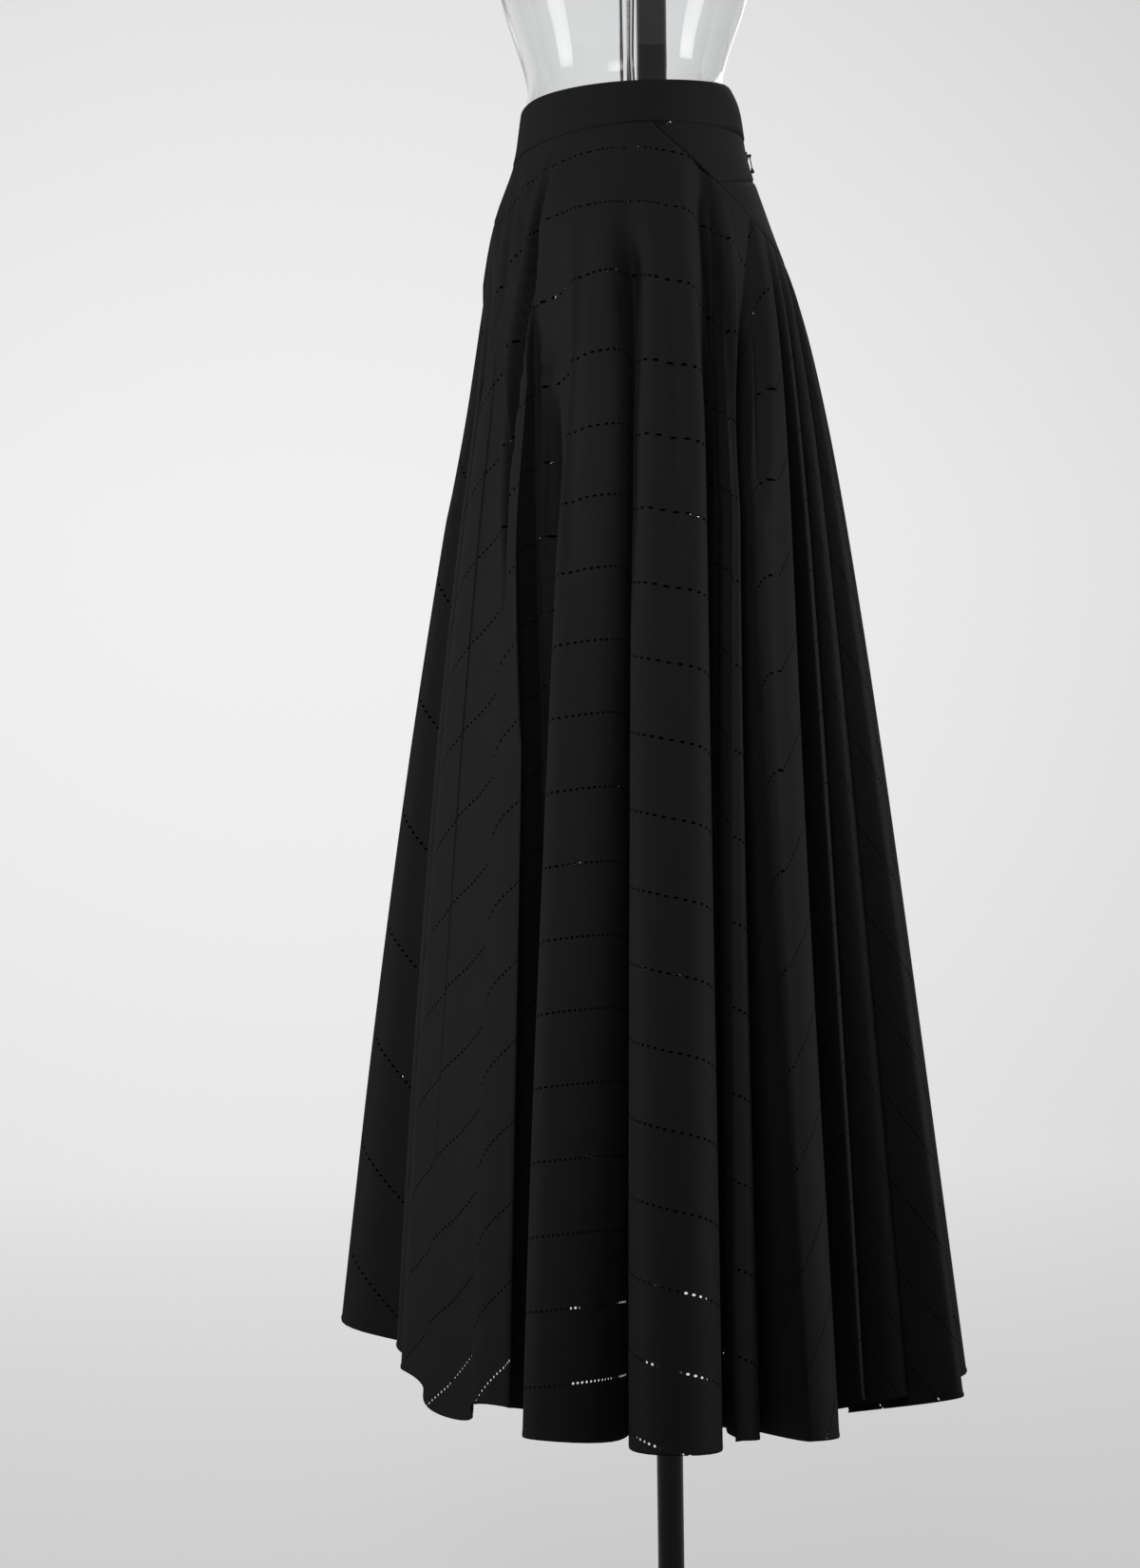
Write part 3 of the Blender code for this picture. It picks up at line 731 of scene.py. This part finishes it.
class Finish:
    """A node material, whose nodes are all made by the method node."""

    def __init__(self, name):
        self.material = bpy.data.materials.new(name)
        self.material.use_nodes = True
        self.tree = self.material.node_tree
        self.shader = self.tree.nodes["Principled BSDF"]

    def plug(self, socket, value):
        if isinstance(value, Shade):
            self.tree.links.new(value.socket, socket)
        else:
            socket.default_value = value

    def node(self, kind, settings, inputs, output=0):
        """Adds a node, sets it up, fills its sockets with values or links, and gives its output."""
        made = self.tree.nodes.new(kind)
        for name, value in settings.items():
            setattr(made, name, value)
        for key, value in inputs.items():
            self.plug(find_socket(made.inputs, key), value)
        return Shade(self, made, output)

    def surface(self, **inputs):
        """Fills the main shader's sockets."""
        for name, value in inputs.items():
            socket = SHADER_SOCKETS.get(name, name.replace("_", " ").title())
            self.plug(self.shader.inputs[socket], value)

    def place(self):
        """The point on the piece, in metres."""
        return self.node("ShaderNodeTexCoord", {}, {}, "Object")

    def stretched(self, vector, scale):
        return self.node("ShaderNodeVectorMath", {"operation": "MULTIPLY"}, {0: vector, 1: scale})

    def noise(self, vector, scale, detail=2.0):
        inputs = {"Vector": vector, "Scale": scale, "Detail": detail}
        return self.node("ShaderNodeTexNoise", {}, inputs)

    def mixed(self, share, start, end):
        """One colour turned into another by a share from 0 to 1."""
        inputs = {"Factor_Float": share, "A_Color": start, "B_Color": end}
        return self.node("ShaderNodeMix", {"data_type": "RGBA"}, inputs, "Result_Color")

    def bump(self, height, strength, distance, normal=None):
        inputs = {"Height": height, "Strength": strength, "Distance": distance}
        if normal:
            inputs["Normal"] = normal
        return self.node("ShaderNodeBump", {}, inputs)


# Shader sockets whose names aren't plain title case
SHADER_SOCKETS = {"ior": "IOR", "specular_level": "Specular IOR Level"}


def opaque(colour):
    return (*colour, 1.0)


def cloth_finish(name, cloth, rows, rows_end=None):
    """Black crepe-like cloth, with openwork holes in straight rows on the flat pattern."""
    finish = Finish(name)
    flat = finish.node("ShaderNodeUVMap", {"uv_map": "flat"}, {})
    colour = Vector(cloth.colour)
    cloudy = finish.noise(finish.stretched(flat, (30.0, 30.0, 1.0)), 1.0, 3.0)
    slub = finish.noise(finish.stretched(flat, (60.0, 900.0, 1.0)), 1.0, 2.0)
    warp = finish.noise(finish.stretched(flat, (1400.0, 160.0, 1.0)), 1.0, 2.0)
    weft = finish.noise(finish.stretched(flat, (160.0, 1400.0, 1.0)), 1.0, 2.0)
    mottle = ((0.45 * cloudy + 0.3 * slub + 0.25 * warp - 0.35) * 2.0).clamped()
    shade = finish.mixed(mottle, opaque(colour * 0.78), opaque(colour * 1.25))
    normal = finish.bump(warp + weft, 0.3, 0.0002)
    soft = finish.noise(finish.stretched(flat, (22.0, 5.0, 1.0)), 1.0, 2.0)
    normal = finish.bump(soft, 0.4, 0.0020, normal)
    if rows:
        separate = finish.node("ShaderNodeSeparateXYZ", {}, {0: flat}, "X")
        along, across = separate, separate.output("Y")
        pitch, spacing, radius = cloth.hole_pitch, cloth.row_spacing, cloth.hole_width / 2
        beside = ((along / pitch).fraction() - 0.5) * (pitch * HOLE_SQUEEZE)
        above = ((across / spacing).fraction() - 0.5) * spacing
        away = (beside * beside + above * above) ** 0.5
        cut = away < radius
        if rows_end is not None:
            cut = cut * (across < rows_end)
        beyond = away - radius * 1.35
        rim = (1 - beyond * beyond / (radius * 0.5) ** 2).clamped()
        normal = finish.bump(rim, 0.5, 0.0003, normal)
        finish.surface(alpha=1 - cut)
    finish.surface(base_color=shade, normal=normal, roughness=0.62 + 0.2 * cloudy)
    finish.surface(specular_level=0.2, sheen_weight=0.04, sheen_roughness=0.5)
    return finish.material


def hard_finish(name, colour, roughness, metallic=0.0, coat=0.0, shine=0.5, grain=0.1):
    """A smooth hard finish with faint unevenness in its gloss."""
    finish = Finish(name)
    uneven = finish.noise(finish.place(), 90.0, 3.0)
    streak = finish.noise(finish.stretched(finish.place(), (500.0, 500.0, 20.0)), 1.0, 2.0)
    tone = Vector(colour)
    finish.surface(
        base_color=finish.mixed(uneven, opaque(tone * 0.9), opaque(tone * 1.1)),
        roughness=roughness * 0.8 + roughness * 0.4 * uneven,
        normal=finish.bump(streak, grain, 0.0001),
        metallic=metallic,
        specular_level=shine,
        coat_weight=coat,
        coat_roughness=0.06,
    )
    return finish.material


def clear_finish(form):
    """Clear moulded plastic with a faint ripple from the mould."""
    finish = Finish("clear_moulding")
    ripple = finish.noise(finish.stretched(finish.place(), (14.0, 14.0, 5.0)), 1.0, 2.0)
    scuffs = finish.noise(finish.stretched(finish.place(), (260.0, 260.0, 60.0)), 1.0, 4.0)
    finish.surface(
        base_color=opaque(form.clear_colour),
        roughness=0.01 + 0.03 * scuffs,
        normal=finish.bump(ripple, 0.25, 0.004),
        transmission_weight=1.0,
        ior=1.45,
    )
    return finish.material


def paper_finish(stage):
    """Matt pale paper whose brightness is mostly painted light: it glows, most of all behind the
    object and to its left, a painted pool of studio light.
    """
    finish = Finish("pale_paper")
    fibres = finish.noise(finish.place(), 40.0, 2.0)
    place = finish.node("ShaderNodeSeparateXYZ", {}, {0: finish.place()}, "Y")
    ahead = place.output("X") + 4.2
    beside = place + 0.75
    above = place.output("Z") - 0.8
    # Painted light: the glow dims with distance from a spot behind the object and to its left, a
    # painted falloff of the studio light on the paper
    far = (0.048 * beside * beside + 0.048 * above * above + 0.12 * ahead).clamped()
    colour = Vector(stage.backdrop_colour)
    painted_glow = finish.mixed(far, opaque(colour), opaque(colour * 0.35))
    finish.surface(
        base_color=finish.mixed(fibres, opaque(colour * 0.29), opaque(colour * 0.31)),
        roughness=0.9,
        specular_level=0.1,
        emission_color=painted_glow,
        emission_strength=stage.backdrop_painted_glow,
    )
    return finish.material


class SKIRT_OT_panels(Operator):
    """Hang the four flared panels in their folds"""

    bl_idname = "skirt.panels"
    bl_label = "Skirt Panels"

    def execute(self, context):
        cloth = context.scene.skirt_cloth
        material = cloth_finish("openwork_cloth", cloth, rows=True)
        for panel in ("front_left", "back_left", "back_right", "front_right"):
            points, grain, down = panel_cloth(panel, cloth.steps_per_fold, cloth.steps_down)
            flat = flat_place(grain, down, cloth.row_spacing)
            piece = new_sheet(f"{panel}_cloth", points, flat, cloth.thickness, material)
            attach(piece, BODY)
            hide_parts(panel)
        return {"FINISHED"}


class SKIRT_OT_yoke(Operator):
    """Lay the four pieces of the pointed back yoke"""

    bl_idname = "skirt.yoke"
    bl_label = "Back Yoke"

    def piece(self, name, start, upper, lower, mirrored, material):
        cloth = bpy.context.scene.skirt_cloth
        share = 0.5 - 0.5 * np.cos(np.pi * np.linspace(0.0, 1.0, 72))
        angles = lerp(start, BACK, lerp(share, np.linspace(0.0, 1.0, 72), 0.35))
        if mirrored:
            angles = 180 - angles[::-1]
        down = np.array([0.0, 0.03, 0.07, *np.linspace(0.13, 0.87, 14), 0.93, 0.97, 1.0])[:, None]
        height = lerp(upper(angles), lower(angles), down)
        reach = outline_reach(angles, height) + 0.0002
        arc = np.radians(angles - BACK) * reach
        edge = np.minimum(upper(angles) - height, height - lower(angles))
        side_end = angles[-1 if mirrored else 0]
        ends = np.minimum(np.abs(arc), np.radians(np.abs(angles - side_end)) * reach)
        tuck = np.exp(-((edge / SEAM_WIDTH) ** 2)) + np.exp(-((ends / SEAM_WIDTH) ** 2))
        reach = reach - SEAM_DEPTH * np.minimum(tuck, 1.0)
        points = round_points(angles, reach, height)
        slant = math.radians(14 if mirrored else -14)
        fall = band_seam(BACK) - height
        flat = np.stack(
            [
                arc * math.cos(slant) + fall * math.sin(slant),
                fall * math.cos(slant) - arc * math.sin(slant) + 0.0053,
            ],
            axis=-1,
        )
        sheet = new_sheet(f"{name}_cloth", points, flat, cloth.thickness, material)
        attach(sheet, BODY)
        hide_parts(name)
        tall = float((upper(angles) - lower(angles)).max())
        area = float((np.abs(np.diff(arc[0])) * (upper(angles) - lower(angles))[1:]).sum())

    def execute(self, context):
        cloth = context.scene.skirt_cloth
        upper = cloth_finish("upper_yoke_cloth", cloth, rows=True, rows_end=0.0)
        lower = cloth_finish("lower_yoke_cloth", cloth, rows=False)
        for side, mirrored in (("left", False), ("right", True)):
            name = f"yoke_upper_{side}"
            self.piece(name, YOKE_TIP, band_seam, upper_yoke_bottom, mirrored, upper)
            self.piece(f"yoke_lower_{side}", YOKE_SPLIT_TIP, yoke_split, yoke_seam, mirrored, lower)
        return {"FINISHED"}


class SKIRT_OT_waistband(Operator):
    """Fasten the shaped waistband round the form's waist"""

    bl_idname = "skirt.waistband"
    bl_label = "Waistband"

    def execute(self, context):
        cloth = context.scene.skirt_cloth
        around = np.linspace(2.0, 358.0, 190)
        angles = BACK + np.array([0.0, 0.4, 1.0, *around, 359.0, 359.6, 360.0])
        middle = np.linspace(0.1, 0.9, 14)
        down = np.array([0.0, 0.01, 0.025, 0.05, *middle, 0.95, 0.975, 0.99, 1.0])
        down = down[:, None]
        height = lerp(band_top(angles), band_seam(angles), down)
        deep = band_top(angles) - band_seam(angles)
        edge = np.minimum(down, 1 - down) * deep
        slit = np.minimum(angles - BACK, BACK + 360 - angles) * math.radians(1) * 0.07
        wave = 0.0004 * sind(angles * 7 + 60 * down) * sind(180 * down)
        reach = outline_reach(angles, height) + BAND_PROUD + wave
        tuck = np.exp(-((edge / 0.0011) ** 2)) + np.exp(-((slit / SEAM_WIDTH) ** 2))
        reach = reach - SEAM_DEPTH * np.minimum(tuck, 1.0)
        points = round_points(angles, reach, height)
        arc = np.radians(angles - BACK) * BAND_RADIUS + 0 * down
        flat = np.stack([arc, down * deep], axis=-1)
        material = cloth_finish("band_cloth", cloth, rows=False)
        piece = new_sheet("waistband_cloth", points, flat, cloth.band_thickness, material)
        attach(piece, BODY)
        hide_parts("waistband")
        return {"FINISHED"}


class SKIRT_OT_form(Operator):
    """Mould the clear form's two shells round the waist"""

    bl_idname = "skirt.form"
    bl_label = "Clear Form"

    def execute(self, context):
        form = context.scene.skirt_form
        material = clear_finish(form)
        heights = np.linspace(FORM[-1].height, FORM[0].height, 130)[:, None]
        front, back, side = section_at(FORM, heights)
        centre, half = (back - front) / 2, (back + front) / 2
        for name, sign in (("form_back", 1), ("form_front", -1)):
            cut = (form.side_seam + sign * SHELL_GAP - centre) / half
            start = np.arcsin(cut)
            share = np.linspace(0.0, 1.0, 61)
            if sign > 0:
                turn = lerp(start, np.pi - start, share)
            else:
                turn = lerp(np.pi - start, 2 * np.pi + start, share)
            x, y = side * np.cos(turn), centre + half * np.sin(turn)
            points = np.stack([x, y, heights + 0 * x], axis=-1)
            flat = np.stack([turn * 0.12, heights + 0 * x], axis=-1)
            piece = new_sheet(f"{name}_shell", points, flat, form.wall, material)
            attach(piece, BODY)
            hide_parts(name)
        return {"FINISHED"}


class SKIRT_OT_stand(Operator):
    """Turn the base, pole, sleeve and neck cap"""

    bl_idname = "skirt.stand"
    bl_label = "Stand"

    def execute(self, context):
        stand = context.scene.skirt_stand
        black = hard_finish("gloss_black", stand.colour, 0.18, coat=0.03, shine=0.12)
        grey = hard_finish("sleeve_tube", (0.030, 0.030, 0.034), 0.22, metallic=0.4, coat=0.5)
        for name in ("base", "pole", "sleeve", "neck_cap"):
            low, high = (Vector(corner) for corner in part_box(name))
            radius = high.x
            if name == "base":
                profile = [
                    (0.0, BASE_THICKNESS),
                    (TUBE_RADIUS, BASE_THICKNESS),
                    (TUBE_RADIUS, high.z),
                    (SOCKET_RADIUS, high.z),
                    (SOCKET_RADIUS, BASE_THICKNESS),
                    (radius, BASE_THICKNESS),
                    (radius, low.z),
                    (0.0, low.z),
                ]
            elif name == "sleeve":
                inner = TUBE_RADIUS
                profile = [(radius, high.z), (radius, low.z), (inner, low.z), (inner, high.z)]
            else:
                profile = [(0.0, high.z), (radius, high.z), (radius, low.z), (0.0, low.z)]
            finish = grey if name == "sleeve" else black
            piece = new_turned(f"{name}_turned", profile, finish, edge=stand.edge)
            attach(piece, BODY)
            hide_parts(name)
        return {"FINISHED"}


class SKIRT_OT_zip(Operator):
    """Finish the zip's slider and its drop-shaped pull"""

    bl_idname = "skirt.zip"
    bl_label = "Zip"

    def execute(self, context):
        metal = hard_finish("dark_metal", (0.06, 0.06, 0.065), 0.3, metallic=0.8, coat=0.2)
        for name in ("zip_slider", "zip_pull"):
            node = bpy.data.objects[name] if name in bpy.data.objects else None
            if node is None:
                raise RuntimeError(f"the frame has no object for {name}")
            for slot in node.material_slots:
                slot.material = metal
        return {"FINISHED"}


class SKIRT_OT_stage(Operator):
    """Set the pale floor and backdrop, the soft lights and the camera"""

    bl_idname = "skirt.stage"
    bl_label = "Stage"

    def softbox(self, name, place, aim, size, watts, spread):
        light = bpy.data.lights.new(name, "AREA")
        light.shape = "RECTANGLE"
        light.size, light.size_y = size
        light.energy = watts
        light.spread = math.radians(spread)
        lamp = bpy.data.objects.new(name, light)
        lamp.location = place
        lamp.rotation_euler = (Vector(aim) - Vector(place)).to_track_quat("-Z", "Y").to_euler()
        lamp.visible_transmission = False
        bpy.context.scene.collection.objects.link(lamp)

    def backdrop(self, stage):
        radius, wall, top = 1.4, -4.2, 6.0
        bend = [
            (wall + radius - radius * math.sin(a), radius - radius * math.cos(a))
            for a in np.linspace(0, math.pi / 2, 16)
        ]
        profile = [(9.0, 0.0), (3.0, 0.0), *bend, (wall, top)]
        points = np.array([[(x, y, z) for y in (-9.0, 9.0)] for x, z in profile])
        paper = new_sheet("backdrop", points, points[..., 1:], 0.002, paper_finish(stage))
        paper.modifiers.clear()
        return paper

    def keep_off_cloth(self, paper):
        """Keeps the paper's glow off the black cloth, as a studio does with black cards."""
        shaded = bpy.data.collections.new("kept_from_glow")
        for piece in bpy.context.scene.objects:
            if piece.name.endswith("_cloth"):
                shaded.objects.link(piece)
        for entry in shaded.collection_objects:
            entry.light_linking.link_state = "EXCLUDE"
        paper.light_linking.receiver_collection = shaded

    def execute(self, context):
        scene, stage = context.scene, context.scene.skirt_stage
        self.keep_off_cloth(self.backdrop(stage))
        self.softbox("left_softbox", (0.30, -2.20, 0.95), (0.0, 0.0, 1.06), (0.75, 1.7), 1.6, 46)
        self.softbox("right_softbox", (0.22, 2.20, 0.95), (0.0, 0.0, 1.04), (0.75, 1.7), 1.9, 48)
        self.softbox("overhead", (2.1, -0.5, 2.3), (0.0, 0.0, 0.84), (1.2, 1.0), 1.4, 45)
        self.softbox("far_softbox", (-2.2, 0.6, 2.4), (0.0, 0.0, 0.9), (1.2, 1.2), 5.0, 180)
        world = bpy.data.worlds.new("studio")
        world.use_nodes = True
        ground = world.node_tree.nodes["Background"]
        ground.inputs["Color"].default_value = (0.86, 0.86, 0.86, 1.0)
        ground.inputs["Strength"].default_value = 0.16
        scene.world = world
        scene.view_settings.view_transform = "Standard"
        camera = bpy.data.cameras.new("camera")
        camera.lens = stage.lens
        camera.sensor_width = 36.0
        eye = bpy.data.objects.new("camera", camera)
        quarter = math.radians(90)
        level = Matrix.Rotation(quarter, 4, "Z") @ Matrix.Rotation(quarter, 4, "X")
        place = Matrix.Translation((stage.distance, -0.076, 0.730))
        eye.matrix_world = place @ level @ Matrix.Rotation(-stage.tilt, 4, "Z")
        scene.collection.objects.link(eye)
        scene.camera = eye
        return {"FINISHED"}


class SKIRT_PT_panel(Panel):
    """The skirt's pieces and their sizes"""

    bl_label = "Flared Skirt"
    bl_idname = "SKIRT_PT_panel"
    bl_space_type = "VIEW_3D"
    bl_region_type = "UI"
    bl_category = "Skirt"

    def draw(self, context):
        layout, scene = self.layout, context.scene
        for title, settings in (
            ("Cloth", scene.skirt_cloth),
            ("Form", scene.skirt_form),
            ("Stand", scene.skirt_stand),
            ("Stage", scene.skirt_stage),
        ):
            box = layout.box()
            box.label(text=title)
            for name in settings.__annotations__:
                box.prop(settings, name)
        for operator in OPERATORS:
            layout.operator(operator.bl_idname)


SETTINGS = {
    "skirt_cloth": ClothSettings,
    "skirt_form": FormSettings,
    "skirt_stand": StandSettings,
    "skirt_stage": StageSettings,
}
OPERATORS = (
    SKIRT_OT_waistband,
    SKIRT_OT_yoke,
    SKIRT_OT_panels,
    SKIRT_OT_form,
    SKIRT_OT_stand,
    SKIRT_OT_zip,
    SKIRT_OT_stage,
)


def register():
    for name, group in SETTINGS.items():
        bpy.utils.register_class(group)
        setattr(bpy.types.Scene, name, PointerProperty(type=group))
    for kind in (*OPERATORS, SKIRT_PT_panel):
        bpy.utils.register_class(kind)


def unregister():
    for kind in reversed((*OPERATORS, SKIRT_PT_panel)):
        bpy.utils.unregister_class(kind)
    for name, group in reversed(SETTINGS.items()):
        delattr(bpy.types.Scene, name)
        bpy.utils.unregister_class(group)


def main():
    register()
    bpy.ops.skirt.waistband()
    bpy.ops.skirt.yoke()
    bpy.ops.skirt.panels()
    bpy.ops.skirt.form()
    bpy.ops.skirt.stand()
    bpy.ops.skirt.zip()
    bpy.ops.skirt.stage()


if __name__ == "__main__":
    main()
